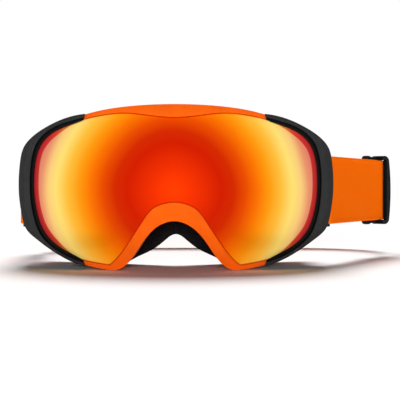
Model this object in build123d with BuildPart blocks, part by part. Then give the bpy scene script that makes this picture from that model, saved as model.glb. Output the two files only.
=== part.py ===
from build123d import *
import math
import os

# Ski goggles. The goggles look along -Y, +X is to the right of somebody facing them and +Z is
# up. The origin is on the mid plane, level with the strap's centreline, in the temple plane
# where the lens curve would end. Sizes are in millimetres.

# Lens: part of a sphere that bows out ahead of the temple plane
LENS_HALF_CHORD = 88.0
LENS_BOW = 40.0
LENS_R = (LENS_HALF_CHORD**2 + LENS_BOW**2) / (2 * LENS_BOW)
LENS_CENTRE_Y = LENS_R - LENS_BOW
LENS_THICKNESS = 1.4
LENS_CLEARANCE = 0.15
INNER_LENS_R = LENS_R - 6.8
INNER_LENS_THICKNESS = 1.0
INNER_LENS_INSET = 5.0
GASKET_WIDTH = 3.0

# Frame: a flexible ring round the lens, open to the face
FRAME_R = LENS_R + 0.8
SEAT_R = LENS_R - LENS_THICKNESS
FLANGE_R = SEAT_R - 2.5
SEAT_WIDTH = 2.5
FRAME_WALL = 2.4
FACE_CENTRE_Y = 121.0
CARRIER_R = 124.0
CARRIER_THICKNESS = 1.6
FRAME_REAR_R = CARRIER_R + CARRIER_THICKNESS

# Vents in the frame's top and bottom walls
TOP_VENTS_X = (-42, -28, -14, 0, 14, 28, 42)
TOP_VENT_SIZE = (9.0, 5.0)
LOW_VENTS_X = (41, 48)
LOW_VENT_SIZE = (4.6, 4.0)
TOP_VENT_CUT_Z = 36.0
LOW_VENT_CUT_Z = -38.0
VENT_CUT_DEPTH = 40.0
VENT_FOAM_THICKNESS = 2.0
TOP_VENT_FOAM_HALF = 50.0
TOP_VENT_FOAM_Z = (20.0, 60.0)
LOW_VENT_FOAM_X = (37.0, 53.0)
LOW_VENT_FOAM_Z = (-50.0, -30.0)

# Face foam, in layers towards the face, and its fleece
FOAM_INSET_SCALE = 0.99
FOAM_LAYERS = (("face_foam_base", 124.0, 115.0), ("face_foam_mid", 115.0, 108.0), ("face_fleece", 108.0, 106.0))

# Side clamps and their liners
CLAMP_R = LENS_R + 2.8
LINER_R = LENS_R + 1.8
CLAMP_REAR_Y = 14.0
CLAMP_FRONT_WALL_Y = 3.4
POCKET_HALF_HEIGHT = 22.0
SCREW_Y = 0.4
SCREW_Z = 12.0
SCREW_R = 1.1
SCREW_HEAD_R = 2.1
SCREW_HEAD_HEIGHT = 1.2
SCREW_LENGTH = 5.6

# Hinge of each strap arm, with its pin along Z
PIN_X = 86.75
PIN_Y = 6.6
PIN_R = 0.9
PIN_HALF_LENGTH = 20.0
BARREL_R = 1.9
BORE_R = 0.95
LUG_HALF_HEIGHT = 6.0
BARREL_START = 6.2
ARM_HALF_HEIGHT = 21.6
RAIL_START = 20.4
BAR_X = 89.6
BAR_Y = 12.5
BAR_R = 1.4

# Strap
STRAP_WIDTH = 40.0
STRAP_THICKNESS = 1.4
RIGHT_SPLAY = 31.0
LEFT_SPLAY = 3.0
STRAP_START = 5.0
STRAP_STRAIGHT = 94.0
RETURN_START = 6.0
RETURN_END = 24.0
STRAP_SAG = 11.0
RIGHT_BEND_R = 50.0
RIGHT_CORNER_R = 57.0

# Adjuster, in the strap's own plane: along the strap, across it, and out from it
ADJUSTER_AT = 74.0
ADJUSTER_FRONT = -12.5
ADJUSTER_BOW = 22.8
ADJUSTER_HALF = 20.25
ADJUSTER_EDGE = ((-12.5, 20.8), (-9.0, 22.4), (0.5, 21.5), (10.5, 22.9), (19.5, 20.8))
PLATE_LOW = -4.2
PLATE_HIGH = -1.2
END_BAR_LOW = 1.1
END_BAR_HIGH = 3.4
FRONT_BAR_WIDTH = 3.5
MID_BAR = (-3.0, 1.0)
END_BAR_START = 14.6
CHEEK_START = 7.0
STRAP_END_RANGE = (-22.0, 3.0)
STRAP_END_LOW = -5.8
STRAP_END_HIGH = -4.4

# Right halves of the front outlines, as (x, z), from the top centre to the cheek and from the
# cheek to the nose
FRAME_SIDE = (
    (0, 46.9), (26, 45.9), (48, 42.6), (61, 38.9), (73.3, 34.2), (80.4, 27), (83.4, 18.5),
    (84.6, 6), (84.3, -3), (82.1, -14.6), (78.1, -24.4), (70.2, -32.6), (58.6, -39), (46, -42.6), (34, -44.2),
)
FRAME_NOSE = ((34, -44.2), (28.6, -42.6), (24.3, -38.6), (16.2, -26.9), (9, -19.7), (0, -16.7))
LENS_SIDE = (
    (0, 39.6), (13, 40.7), (26, 42.3), (36, 42), (48, 40.1), (61.8, 36.9), (72.5, 32.4), (78.9, 25.8),
    (81.8, 18), (82.9, 6), (82.6, -3), (80.5, -14.2), (76.6, -23.5), (69.2, -31), (58.2, -37), (47, -39.9),
    (35.8, -41.6),
)
LENS_NOSE = ((35.8, -41.6), (29.3, -35.2), (23.6, -27.2), (16.8, -16.8), (11.6, -10.4), (6, -7.7), (0, -6.8))
EYE_SIDE = (
    (0, 34), (26, 33.6), (48, 31.4), (62, 27), (70.5, 19), (74, 7), (73, -4), (69, -16), (60, -25.5),
    (48, -31.8), (38, -33.8),
)
EYE_NOSE = ((38, -33.8), (30.5, -31.6), (24, -23.5), (15, -14), (7, -10), (0, -9))
FOAM_NOSE = ((34, -44.2), (28.4, -42.4), (22.6, -39.1), (16.2, -36.2), (9, -31.6), (4.4, -27.6), (0, -25.4))

# Right side clamp and liner, as (x, z), from the upper tip round the side to the lower tip
CLAMP_EDGE = (
    (50, 42.2), (62.4, 40.1), (74, 35.6), (83.4, 30.1), (88.5, 24.6), (90.6, 16), (91.2, 6), (90.9, -3),
    (89.3, -13.9), (86.4, -22.4), (80.5, -27.4), (70.5, -33.7), (58.2, -39.8), (50, -42.2),
)
LINER_EDGE = (
    (50.4, 40.3), (61.9, 37.7), (72.4, 33.5), (79.4, 26.8), (82.2, 18.6), (83.2, 6), (82.9, -3.2),
    (81, -14.6), (77.4, -24.2), (69.7, -32), (58.2, -37.9), (50.4, -40.3),
)
GLASS_EDGE = (
    (50.9, 38.9), (61.2, 35.6), (71, 31.5), (77, 25.5), (79.8, 18), (80.9, 6), (80.6, -3), (78.6, -13.7),
    (75, -22.7), (68, -30), (57.3, -35.7), (50.9, -38.9),
)

FRONT_DEPTH = 60.0
REAR_DEPTH = 60.0
DRUM_HEIGHT = 160.0


def mirrored(points):
    """The same points on the left half, in the order that leads back to the mid plane."""
    return [(-x, z) for x, z in reversed(points) if x > 0]


def chord_normal(start, end):
    """Unit normal of a chord, towards the inside of an outline that runs clockwise."""
    dx = end[0] - start[0]
    dz = end[1] - start[1]
    length = math.hypot(dx, dz)
    return dz / length, -dx / length


def inset(side, nose, amount):
    """Both halves of an outline moved inwards by the same distance all round."""
    points = list(side) + list(nose[1:])
    mid_plane = [chord_normal((0, 0), (1, 0)), chord_normal((1, 0), (0, 0))]
    normals = [chord_normal(a, b) for a, b in zip(points, points[1:])]
    moved = []
    for number, (x, z) in enumerate(points):
        before = normals[number - 1] if number > 0 else mid_plane[0]
        after = normals[number] if number < len(normals) else mid_plane[1]
        if number == 0:
            after = before
        if number == len(normals):
            before = after
        share = amount / (1 + before[0] * after[0] + before[1] * after[1])
        moved.append((x + share * (before[0] + after[0]), z + share * (before[1] + after[1])))
    return moved[: len(side)], moved[len(side) - 1 :]


def ring_face(side, nose):
    """Face bounded by a smooth curve round the brow and cheeks and another over the nose."""
    with BuildSketch(Plane.XZ) as face:
        with BuildLine():
            Spline(*mirrored(side), *side)
            Spline(*nose, *mirrored(nose))
        make_face()
    return face.sketch


def band_face(outer, inner):
    """Face between two curves that run the same way, closed by straight ends."""
    with BuildSketch(Plane.XZ) as face:
        with BuildLine():
            Spline(*outer)
            Spline(*inner)
            Line(outer[0], inner[0])
            Line(outer[-1], inner[-1])
        make_face()
    return face.sketch


def prism(face, rear_y):
    """A front outline carried forward from a depth behind the origin to well ahead of the lens."""
    with BuildPart() as tool:
        with Locations((0, rear_y, 0)):
            add(face)
        extrude(amount=FRONT_DEPTH + rear_y, dir=(0, -1, 0))
    return tool.part


def column(face):
    """A front outline carried through the whole depth of the goggles."""
    return prism(face, REAR_DEPTH)


def front_ball(radius, mode):
    """A sphere about the centre that the lens and the frame's front share."""
    with Locations((0, LENS_CENTRE_Y, 0)):
        Sphere(radius, mode=mode)


def face_drum(radius, mode):
    """An upright cylinder that follows the wearer's face."""
    with Locations((0, FACE_CENTRE_Y, 0)):
        Cylinder(radius, DRUM_HEIGHT, mode=mode)


def shell(face, outer_r, inner_r):
    """The part of a front outline that lies between two front spheres."""
    with BuildPart() as piece:
        add(prism(face, CLAMP_REAR_Y))
        front_ball(outer_r, Mode.INTERSECT)
        front_ball(inner_r, Mode.SUBTRACT)
    return piece.part


def write(piece, name):
    """Label one piece and write it as its own STEP file."""
    piece.label = name
    export_step(piece, f"parts/{name}.step")


os.makedirs("parts", exist_ok=True)

frame_face = ring_face(FRAME_SIDE, FRAME_NOSE)
frame_inner_face = ring_face(*inset(FRAME_SIDE, FRAME_NOSE, FRAME_WALL))
vent_foam_face = ring_face(*inset(FRAME_SIDE, FRAME_NOSE, FRAME_WALL + VENT_FOAM_THICKNESS))
lens_face = ring_face(LENS_SIDE, LENS_NOSE)
eye_face = ring_face(EYE_SIDE, EYE_NOSE)

# Lenses and the gasket that keeps them apart
with BuildPart() as outer_lens:
    add(shell(ring_face(*inset(LENS_SIDE, LENS_NOSE, LENS_CLEARANCE)), LENS_R, SEAT_R))
write(outer_lens.part, "outer_lens")

inner_outline = ring_face(*inset(LENS_SIDE, LENS_NOSE, INNER_LENS_INSET))
gasket_hole = ring_face(*inset(LENS_SIDE, LENS_NOSE, INNER_LENS_INSET + GASKET_WIDTH))
with BuildPart() as inner_lens:
    add(shell(inner_outline, INNER_LENS_R, INNER_LENS_R - INNER_LENS_THICKNESS))
write(inner_lens.part, "inner_lens")

with BuildPart() as lens_gasket:
    add(shell(inner_outline, SEAT_R, INNER_LENS_R))
    add(column(gasket_hole), mode=Mode.SUBTRACT)
write(lens_gasket.part, "lens_gasket")

# Frame: outer walls, open to the face, and a front flange that seats the lens
with BuildPart() as frame_envelope:
    add(column(frame_face))
    front_ball(FRAME_R, Mode.INTERSECT)

with BuildPart() as lens_pocket:
    add(column(lens_face))
    front_ball(SEAT_R, Mode.SUBTRACT)

with BuildPart() as front_window:
    add(column(ring_face(*inset(LENS_SIDE, LENS_NOSE, SEAT_WIDTH))))
    front_ball(FLANGE_R, Mode.SUBTRACT)

with BuildPart() as cavity:
    add(column(frame_inner_face))
    front_ball(FLANGE_R, Mode.INTERSECT)


def wall_inside():
    """Inner face of the frame's side walls, where the clamp screws' heads sit."""
    return max(x for x, z in FRAME_SIDE) - FRAME_WALL


def clamp_screw_shanks(side, mode):
    """The two screw shanks, or their holes, through one side wall into its clamp."""
    with Locations(Plane((0, SCREW_Y, 0), x_dir=(0, 1, 0), z_dir=(side, 0, 0))):
        with Locations((0, SCREW_Z, wall_inside()), (0, -SCREW_Z, wall_inside())):
            Cylinder(SCREW_R, SCREW_LENGTH, align=(Align.CENTER, Align.CENTER, Align.MIN), mode=mode)
            Cylinder(
                SCREW_HEAD_R, SCREW_HEAD_HEIGHT, align=(Align.CENTER, Align.CENTER, Align.MAX), mode=mode,
            )


def vent_depth(x):
    """Middle of the wall between the front flange and the foam carrier."""
    front = LENS_CENTRE_Y - math.sqrt(FLANGE_R**2 - x**2 - FRAME_SIDE[0][1] ** 2)
    rear = FACE_CENTRE_Y - math.sqrt(FRAME_REAR_R**2 - x**2)
    return (front + rear) / 2


with BuildPart() as frame:
    add(frame_envelope.part)
    face_drum(FRAME_REAR_R, Mode.SUBTRACT)
    add(lens_pocket.part, mode=Mode.SUBTRACT)
    add(front_window.part, mode=Mode.SUBTRACT)
    add(cavity.part, mode=Mode.SUBTRACT)
    with BuildSketch(Plane.XY.offset(TOP_VENT_CUT_Z)):
        with Locations([(x, vent_depth(x)) for x in TOP_VENTS_X]):
            RectangleRounded(*TOP_VENT_SIZE, radius=TOP_VENT_SIZE[1] * 0.4)
    extrude(amount=VENT_CUT_DEPTH, mode=Mode.SUBTRACT)
    with BuildSketch(Plane.XY.offset(LOW_VENT_CUT_Z)):
        with Locations([(side * x, vent_depth(x)) for x in LOW_VENTS_X for side in (-1, 1)]):
            RectangleRounded(*LOW_VENT_SIZE, radius=LOW_VENT_SIZE[1] * 0.4)
    extrude(amount=-VENT_CUT_DEPTH, mode=Mode.SUBTRACT)
    clamp_screw_shanks(-1, Mode.SUBTRACT)
    clamp_screw_shanks(1, Mode.SUBTRACT)
write(frame.part, "frame")

# Foam carrier: a thin ring welded across the frame's rear edge, which the face foam is glued to
with BuildPart() as foam_carrier:
    add(column(frame_face))
    face_drum(FRAME_REAR_R, Mode.INTERSECT)
    face_drum(CARRIER_R, Mode.SUBTRACT)
    add(column(eye_face), mode=Mode.SUBTRACT)
write(foam_carrier.part, "foam_carrier")

# Vent foam, glued inside the walls over the vents
with BuildPart() as vent_lining:
    add(cavity.part)
    face_drum(FRAME_REAR_R, Mode.SUBTRACT)
    add(column(vent_foam_face), mode=Mode.SUBTRACT)

with BuildPart() as vent_foam_top:
    add(vent_lining.part)
    with Locations((0, 0, TOP_VENT_FOAM_Z[0])):
        Box(
            2 * TOP_VENT_FOAM_HALF, DRUM_HEIGHT, TOP_VENT_FOAM_Z[1] - TOP_VENT_FOAM_Z[0],
            align=(Align.CENTER, Align.CENTER, Align.MIN), mode=Mode.INTERSECT,
        )
write(vent_foam_top.part, "vent_foam_top")

LOW_FOAM_MIDDLE = sum(LOW_VENT_FOAM_X) / 2
LOW_FOAM_LENGTH = LOW_VENT_FOAM_X[1] - LOW_VENT_FOAM_X[0]
for side, side_name in ((-1, "left"), (1, "right")):
    with BuildPart() as vent_foam_lower:
        add(vent_lining.part)
        with Locations((side * LOW_FOAM_MIDDLE, 0, LOW_VENT_FOAM_Z[0])):
            Box(
                LOW_FOAM_LENGTH, DRUM_HEIGHT, LOW_VENT_FOAM_Z[1] - LOW_VENT_FOAM_Z[0],
                align=(Align.CENTER, Align.CENTER, Align.MIN), mode=Mode.INTERSECT,
            )
    write(vent_foam_lower.part, f"vent_foam_lower_{side_name}")

# Face foam layers, from the foam carrier towards the face
foam_side = [(x * FOAM_INSET_SCALE, z * FOAM_INSET_SCALE) for x, z in FRAME_SIDE]
foam_nose = [(x * FOAM_INSET_SCALE, z * FOAM_INSET_SCALE) for x, z in FOAM_NOSE]
with BuildSketch(Plane.XZ) as foam_ring:
    add(ring_face(foam_side, foam_nose))
    add(eye_face, mode=Mode.SUBTRACT)
for name, front_r, rear_r in FOAM_LAYERS:
    with BuildPart() as drum:
        face_drum(front_r, Mode.ADD)
        face_drum(rear_r, Mode.SUBTRACT)
    with BuildPart() as foam:
        add(column(foam_ring.sketch))
        add(drum.part, mode=Mode.INTERSECT)
    write(foam.part, name)


def side_points(points, side):
    """A clamp outline on the chosen side."""
    return [(side * x, z) for x, z in points]


def make_clamp(side, name):
    """Grey clamp: a front band over the frame's edge, a side wall and the hinge lug."""
    face = band_face(side_points(CLAMP_EDGE, side), side_points(LINER_EDGE, side))
    with BuildPart() as clamp:
        add(prism(face, CLAMP_REAR_Y))
        front_ball(CLAMP_R, Mode.INTERSECT)
        add(frame_envelope.part, mode=Mode.SUBTRACT)
        # Pocket that the strap arm folds into
        with Locations((side * LENS_HALF_CHORD, CLAMP_FRONT_WALL_Y, 0)):
            Box(
                STRAP_WIDTH / 2, STRAP_WIDTH, 2 * POCKET_HALF_HEIGHT,
                align=(Align.CENTER, Align.MIN, Align.CENTER), mode=Mode.SUBTRACT,
            )
        # Hinge lug in the middle of the pocket
        with Locations((side * PIN_X, PIN_Y, 0)):
            Cylinder(BARREL_R, 2 * LUG_HALF_HEIGHT)
            Box(
                2 * BARREL_R, PIN_Y - CLAMP_FRONT_WALL_Y, 2 * LUG_HALF_HEIGHT,
                align=(Align.CENTER, Align.MAX, Align.CENTER),
            )
            Cylinder(PIN_R, 4 * LUG_HALF_HEIGHT, mode=Mode.SUBTRACT)
        clamp_screw_shanks(side, Mode.SUBTRACT)
    write(clamp.part, name)


def make_liner(side, name):
    """Black band between the clamp and the lens."""
    face = band_face(side_points(LINER_EDGE, side), side_points(GLASS_EDGE, side))
    with BuildPart() as liner:
        add(shell(face, LINER_R, FRAME_R))
    write(liner.part, name)


def make_arm(side, name):
    """Strap arm: two hinge barrels and a slot bar joined by rails at the top and bottom."""
    barrel_middle = (BARREL_START + ARM_HALF_HEIGHT) / 2
    rail_middle = (RAIL_START + ARM_HALF_HEIGHT) / 2
    with BuildPart() as arm:
        with Locations((side * PIN_X, PIN_Y, barrel_middle), (side * PIN_X, PIN_Y, -barrel_middle)):
            Cylinder(BARREL_R, ARM_HALF_HEIGHT - BARREL_START)
        with Locations((side * BAR_X, BAR_Y, 0)):
            Cylinder(BAR_R, 2 * ARM_HALF_HEIGHT)
        reach = math.hypot(BAR_X - PIN_X, BAR_Y - PIN_Y)
        swing = math.degrees(math.atan2(BAR_Y - PIN_Y, side * (BAR_X - PIN_X)))
        for z in (rail_middle, -rail_middle):
            with Locations(Location((side * PIN_X, PIN_Y, z), (0, 0, swing))):
                Box(
                    reach, 2 * BAR_R, ARM_HALF_HEIGHT - RAIL_START,
                    align=(Align.MIN, Align.CENTER, Align.CENTER),
                )
        with Locations((side * PIN_X, PIN_Y, 0)):
            Cylinder(BORE_R, 4 * ARM_HALF_HEIGHT, mode=Mode.SUBTRACT)
    write(arm.part, name)


def make_pin(side, name):
    """Hinge pin, fixed in the clamp's lug."""
    with BuildPart() as pin:
        with Locations((side * PIN_X, PIN_Y, 0)):
            Cylinder(PIN_R, 2 * PIN_HALF_LENGTH)
        chamfer(pin.edges().filter_by(GeomType.CIRCLE), PIN_R / 4)
    write(pin.part, name)


for side, side_name in ((-1, "left"), (1, "right")):
    make_clamp(side, f"{side_name}_side_clamp")
    make_liner(side, f"{side_name}_clamp_liner")
    make_arm(side, f"{side_name}_strap_arm")
    make_pin(side, f"{side_name}_hinge_pin")


def strap_plane(side, splay):
    """Plane of a strap's straight stretch: x along the strap, z out from the head."""
    angle = math.radians(splay)
    along = (side * math.sin(angle), math.cos(angle), 0)
    out = (side * math.cos(angle), -math.sin(angle), 0)
    stand_off = BAR_R + STRAP_THICKNESS / 2
    origin = (side * BAR_X + stand_off * out[0], BAR_Y + stand_off * out[1], 0)
    return Plane(origin, x_dir=along, z_dir=out)


def strap_box(plane, start, end, middle):
    """A straight stretch of strap between two distances from the arm's bar."""
    with BuildPart() as band:
        with BuildSketch(plane.offset(middle - STRAP_THICKNESS / 2)):
            with Locations(((start + end) / 2, 0)):
                Rectangle(end - start, STRAP_WIDTH)
        extrude(amount=STRAP_THICKNESS)
    return band.part


def make_adjuster(plane, name):
    """Adjuster: two bars behind the strap, a bowed end bar in front of it, and scalloped edges."""
    lower_edge = [(x, -y) for x, y in ADJUSTER_EDGE]
    centre = Plane(plane.from_local_coords((ADJUSTER_AT, 0, 0)), x_dir=plane.x_dir, z_dir=plane.z_dir)
    with BuildSketch() as outline:
        with BuildLine():
            Spline(*ADJUSTER_EDGE)
            Spline(*lower_edge)
            Line(ADJUSTER_EDGE[0], lower_edge[0])
            ThreePointArc(ADJUSTER_EDGE[-1], (ADJUSTER_BOW, 0), lower_edge[-1])
        make_face()
    long_span = ADJUSTER_BOW - ADJUSTER_FRONT
    with BuildPart() as adjuster:
        with BuildSketch(centre.offset(PLATE_LOW)):
            add(outline.sketch)
            with Locations((ADJUSTER_FRONT + FRONT_BAR_WIDTH, 0)):
                Rectangle(
                    MID_BAR[0] - ADJUSTER_FRONT - FRONT_BAR_WIDTH, 2 * ADJUSTER_HALF,
                    align=(Align.MIN, Align.CENTER), mode=Mode.SUBTRACT,
                )
            with Locations((MID_BAR[1], 0)):
                Rectangle(long_span, 2 * ADJUSTER_HALF, align=(Align.MIN, Align.CENTER), mode=Mode.SUBTRACT)
        extrude(amount=PLATE_HIGH - PLATE_LOW)
        with BuildSketch(centre.offset(PLATE_LOW)):
            add(outline.sketch)
            Rectangle(4 * long_span, 2 * ADJUSTER_HALF, mode=Mode.SUBTRACT)
            with Locations((CHEEK_START, 0)):
                Rectangle(4 * long_span, 4 * ADJUSTER_HALF, align=(Align.MAX, Align.CENTER), mode=Mode.SUBTRACT)
        extrude(amount=END_BAR_HIGH - PLATE_LOW)
        with BuildSketch(centre.offset(END_BAR_LOW)):
            add(outline.sketch)
            with Locations((END_BAR_START, 0)):
                Rectangle(4 * long_span, 4 * ADJUSTER_HALF, align=(Align.MAX, Align.CENTER), mode=Mode.SUBTRACT)
        extrude(amount=END_BAR_HIGH - END_BAR_LOW)
    write(adjuster.part, name)


def make_strap_end(plane, name):
    """Sewn end of the strap on the adjuster's middle bar."""
    with BuildPart() as strap_end:
        with BuildSketch(plane.offset(STRAP_END_LOW)):
            with Locations((ADJUSTER_AT + sum(STRAP_END_RANGE) / 2, 0)):
                Rectangle(STRAP_END_RANGE[1] - STRAP_END_RANGE[0], STRAP_WIDTH - 1)
        extrude(amount=STRAP_END_HIGH - STRAP_END_LOW)
    write(strap_end.part, name)


RETURN_LAYER = -2 * BAR_R - STRAP_THICKNESS
planes = {"left": strap_plane(-1, LEFT_SPLAY), "right": strap_plane(1, RIGHT_SPLAY)}
for side_name, plane in planes.items():
    write(strap_box(plane, STRAP_START, STRAP_STRAIGHT, 0), f"strap_{side_name}_front")
    write(strap_box(plane, RETURN_START, RETURN_END, RETURN_LAYER), f"strap_{side_name}_return")
    make_adjuster(plane, f"{side_name}_adjuster")
    make_strap_end(plane, f"{side_name}_strap_end")

# Clamp screws, driven outwards from inside the frame's side walls
with BuildPart() as clamp_screws:
    clamp_screw_shanks(-1, Mode.ADD)
    clamp_screw_shanks(1, Mode.ADD)
write(clamp_screws.part, "clamp_screws")

# Rear of the strap: arcs and a straight run in plan, sagging towards the middle
right_end = planes["right"].from_local_coords((STRAP_STRAIGHT, 0, 0))
left_end = planes["left"].from_local_coords((STRAP_STRAIGHT, 0, 0))
right_turn = math.radians(RIGHT_SPLAY)
left_turn = math.radians(90 + LEFT_SPLAY)
corner_x = right_end.X + RIGHT_BEND_R * (1 - math.cos(right_turn)) - RIGHT_CORNER_R
rear_y = right_end.Y + RIGHT_BEND_R * math.sin(right_turn) + RIGHT_CORNER_R
left_r = (rear_y - left_end.Y) / (1 - math.cos(left_turn))
back_length = corner_x - left_end.X - left_r * math.sin(left_turn)
STRETCHES = (
    (RIGHT_BEND_R * right_turn, right_turn),
    (RIGHT_CORNER_R * math.pi / 2, math.pi / 2),
    (back_length, 0.0),
    (left_r * left_turn, left_turn),
)
rear_length = sum(length for length, turn in STRETCHES)
print("strap rear length", round(rear_length, 1), "whole", round(rear_length + 2 * STRAP_STRAIGHT, 1))


def strap_section(distance):
    """Plane across the strap at a distance along its rear, with the strap's own sag."""
    x, y, heading, left = right_end.X, right_end.Y, right_turn, distance
    for length, turn in STRETCHES:
        step = min(left, length)
        bend = turn * step / length
        chord = step if turn == 0 else 2 * length / turn * math.sin(bend / 2)
        x += chord * math.sin(heading - bend / 2)
        y += chord * math.cos(heading - bend / 2)
        heading -= bend
        left -= step
    sag = STRAP_SAG * math.sin(math.pi * distance / rear_length) ** 2
    slope = STRAP_SAG * math.pi / rear_length * math.sin(2 * math.pi * distance / rear_length)
    return Plane(
        (x, y, -sag),
        x_dir=(math.cos(heading), -math.sin(heading), 0),
        z_dir=(math.sin(heading), math.cos(heading), -slope),
    )


REAR_PIECES = (
    ("strap_right_bend", 0.0, 0.22, 7),
    ("strap_right_corner", 0.22, 0.36, 5),
    ("strap_back", 0.36, 0.69, 6),
    ("strap_left_corner", 0.69, 0.85, 5),
    ("strap_left_bend", 0.85, 1.0, 5),
)
for name, start, end, count in REAR_PIECES:
    with BuildPart() as rear_piece:
        for step in range(count):
            share = start + (end - start) * step / (count - 1)
            with BuildSketch(strap_section(share * rear_length)):
                Rectangle(STRAP_THICKNESS, STRAP_WIDTH)
        loft()
    write(rear_piece.part, name)
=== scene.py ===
"""Ski goggles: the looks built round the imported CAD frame. Blender units are metres."""

import bpy
import bmesh
import math
import numpy as np
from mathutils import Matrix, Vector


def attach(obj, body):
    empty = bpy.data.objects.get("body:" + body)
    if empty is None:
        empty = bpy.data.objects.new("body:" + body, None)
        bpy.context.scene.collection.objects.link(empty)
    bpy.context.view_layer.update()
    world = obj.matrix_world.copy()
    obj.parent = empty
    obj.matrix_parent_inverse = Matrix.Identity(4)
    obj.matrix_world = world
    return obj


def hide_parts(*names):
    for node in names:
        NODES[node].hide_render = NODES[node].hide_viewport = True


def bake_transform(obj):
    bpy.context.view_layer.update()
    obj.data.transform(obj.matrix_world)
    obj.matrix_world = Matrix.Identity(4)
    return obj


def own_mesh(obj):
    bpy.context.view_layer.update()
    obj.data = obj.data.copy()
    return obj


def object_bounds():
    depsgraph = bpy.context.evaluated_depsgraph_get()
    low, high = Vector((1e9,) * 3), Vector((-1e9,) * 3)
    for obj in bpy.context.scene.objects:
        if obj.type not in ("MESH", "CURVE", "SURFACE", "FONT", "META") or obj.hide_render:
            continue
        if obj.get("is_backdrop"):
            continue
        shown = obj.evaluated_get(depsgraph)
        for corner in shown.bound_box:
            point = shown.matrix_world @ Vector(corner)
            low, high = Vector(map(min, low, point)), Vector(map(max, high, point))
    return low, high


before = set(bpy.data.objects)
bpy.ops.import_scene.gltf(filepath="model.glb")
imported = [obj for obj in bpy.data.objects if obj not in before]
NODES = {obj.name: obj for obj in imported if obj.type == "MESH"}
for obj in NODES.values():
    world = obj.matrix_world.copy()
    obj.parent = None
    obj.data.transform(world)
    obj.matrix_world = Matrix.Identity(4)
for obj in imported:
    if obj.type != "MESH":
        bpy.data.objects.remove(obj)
CAD_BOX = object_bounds()
SCENE = bpy.context.scene
MM = 0.001
WELD_DISTANCE = 0.00001

# ---- Shapes that the frame and the face parts share, in millimetres ----------------------------
LENS_CENTRE = np.array((0.0, 76.8, 0.0))
LENS_R = 116.8
LENS_THICKNESS = 1.4
FACE_CENTRE_Y = 121.0
FOAM_FRONT_R = 124.0
FOAM_SEAM_R = 115.0
FOAM_REAR_R = 108.0
FLEECE_REAR_R = 106.0
STAR_CENTRE = (0.0, 15.0)

# ---- Strap, in millimetres ---------------------------------------------------------------------
STRAP_WIDTH = 40.0
STRAP_THICKNESS = 1.4
STRAP_START = 5.0
STRAP_STRAIGHT = 94.0
STRAP_SAG = 11.0
BAR = (89.6, 12.5)
BAR_R = 1.4
SPLAY = {"right": 31.0, "left": 3.0}
SIDE_SIGN = {"right": 1.0, "left": -1.0}
RIGHT_BEND_R = 50.0
RIGHT_CORNER_R = 57.0
RETURN_DEPTH = 4.2
ADJUSTER_AT = 74.0


# ---- Node-tree helpers -------------------------------------------------------------------------
def new_material(name, colour, roughness, specular=0.5, **sockets):
    """A Principled material whose uniform values sit on the shader's own sockets."""
    material = bpy.data.materials.new(name)
    material.use_nodes = True
    shader = material.node_tree.nodes["Principled BSDF"]
    shader.inputs["Base Color"].default_value = (*colour, 1.0)
    shader.inputs["Roughness"].default_value = roughness
    shader.inputs["Specular IOR Level"].default_value = specular
    for socket, value in sockets.items():
        shader.inputs[socket.replace("_", " ")].default_value = value
    return material, material.node_tree, shader


def add_node(tree, kind, **values):
    """A node with some of its properties or unlinked inputs set by name."""
    node = tree.nodes.new(kind)
    for name, value in values.items():
        if hasattr(node, name):
            setattr(node, name, value)
        else:
            node.inputs[name.replace("_", " ")].default_value = value
    return node


def object_coordinates(tree, scale=(1.0, 1.0, 1.0)):
    """Object coordinates, stretched by a scale for each axis."""
    source = add_node(tree, "ShaderNodeTexCoord")
    stretch = add_node(tree, "ShaderNodeVectorMath", operation="MULTIPLY")
    stretch.inputs[1].default_value = scale
    tree.links.new(source.outputs["Object"], stretch.inputs[0])
    return stretch.outputs[0]


def noise(tree, vector, scale, detail=3.0, roughness=0.5):
    """A noise texture's factor output."""
    texture = add_node(tree, "ShaderNodeTexNoise", Scale=scale, Detail=detail, Roughness=roughness)
    tree.links.new(vector, texture.inputs["Vector"])
    return texture.outputs["Fac"]


def math_node(tree, operation, first, second=None):
    """A maths node on outputs or plain numbers."""
    node = add_node(tree, "ShaderNodeMath", operation=operation)
    for index, value in enumerate((first, second)):
        if value is None:
            continue
        if isinstance(value, (int, float)):
            node.inputs[index].default_value = value
        else:
            tree.links.new(value, node.inputs[index])
    return node.outputs[0]


def map_range(tree, value, low, high, to_low=0.0, to_high=1.0, smooth=False):
    """A clamped change of range."""
    node = add_node(tree, "ShaderNodeMapRange", interpolation_type="SMOOTHSTEP" if smooth else "LINEAR")
    tree.links.new(value, node.inputs["Value"])
    for name, number in zip(("From Min", "From Max", "To Min", "To Max"), (low, high, to_low, to_high)):
        if isinstance(number, (int, float)):
            node.inputs[name].default_value = number
        else:
            tree.links.new(number, node.inputs[name])
    return node.outputs[0]


def ramp(tree, value, stops):
    """A colour ramp from (place, linear colour) stops."""
    node = add_node(tree, "ShaderNodeValToRGB")
    elements = node.color_ramp.elements
    while len(elements) < len(stops):
        elements.new(0.5)
    for element, (place, colour) in zip(elements, stops):
        element.position = place
        element.color = (*colour, 1.0)
    tree.links.new(value, node.inputs["Fac"])
    return node.outputs["Color"]


def mix_colours(tree, factor, first, second):
    """A mix of two colours, each an output or a plain linear colour."""
    node = add_node(tree, "ShaderNodeMix", data_type="RGBA")
    for socket, value in ((node.inputs[0], factor), (node.inputs[6], first), (node.inputs[7], second)):
        if isinstance(value, (int, float)):
            socket.default_value = value
        elif isinstance(value, tuple):
            socket.default_value = (*value, 1.0)
        else:
            tree.links.new(value, socket)
    return node.outputs[2]


def add_bump(tree, shader, height, distance):
    """A bump, with its depth in metres, on the shader's normal."""
    bump = add_node(tree, "ShaderNodeBump", Strength=1.0, Distance=distance)
    tree.links.new(height, bump.inputs["Height"])
    tree.links.new(bump.outputs["Normal"], shader.inputs["Normal"])
    return bump


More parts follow.
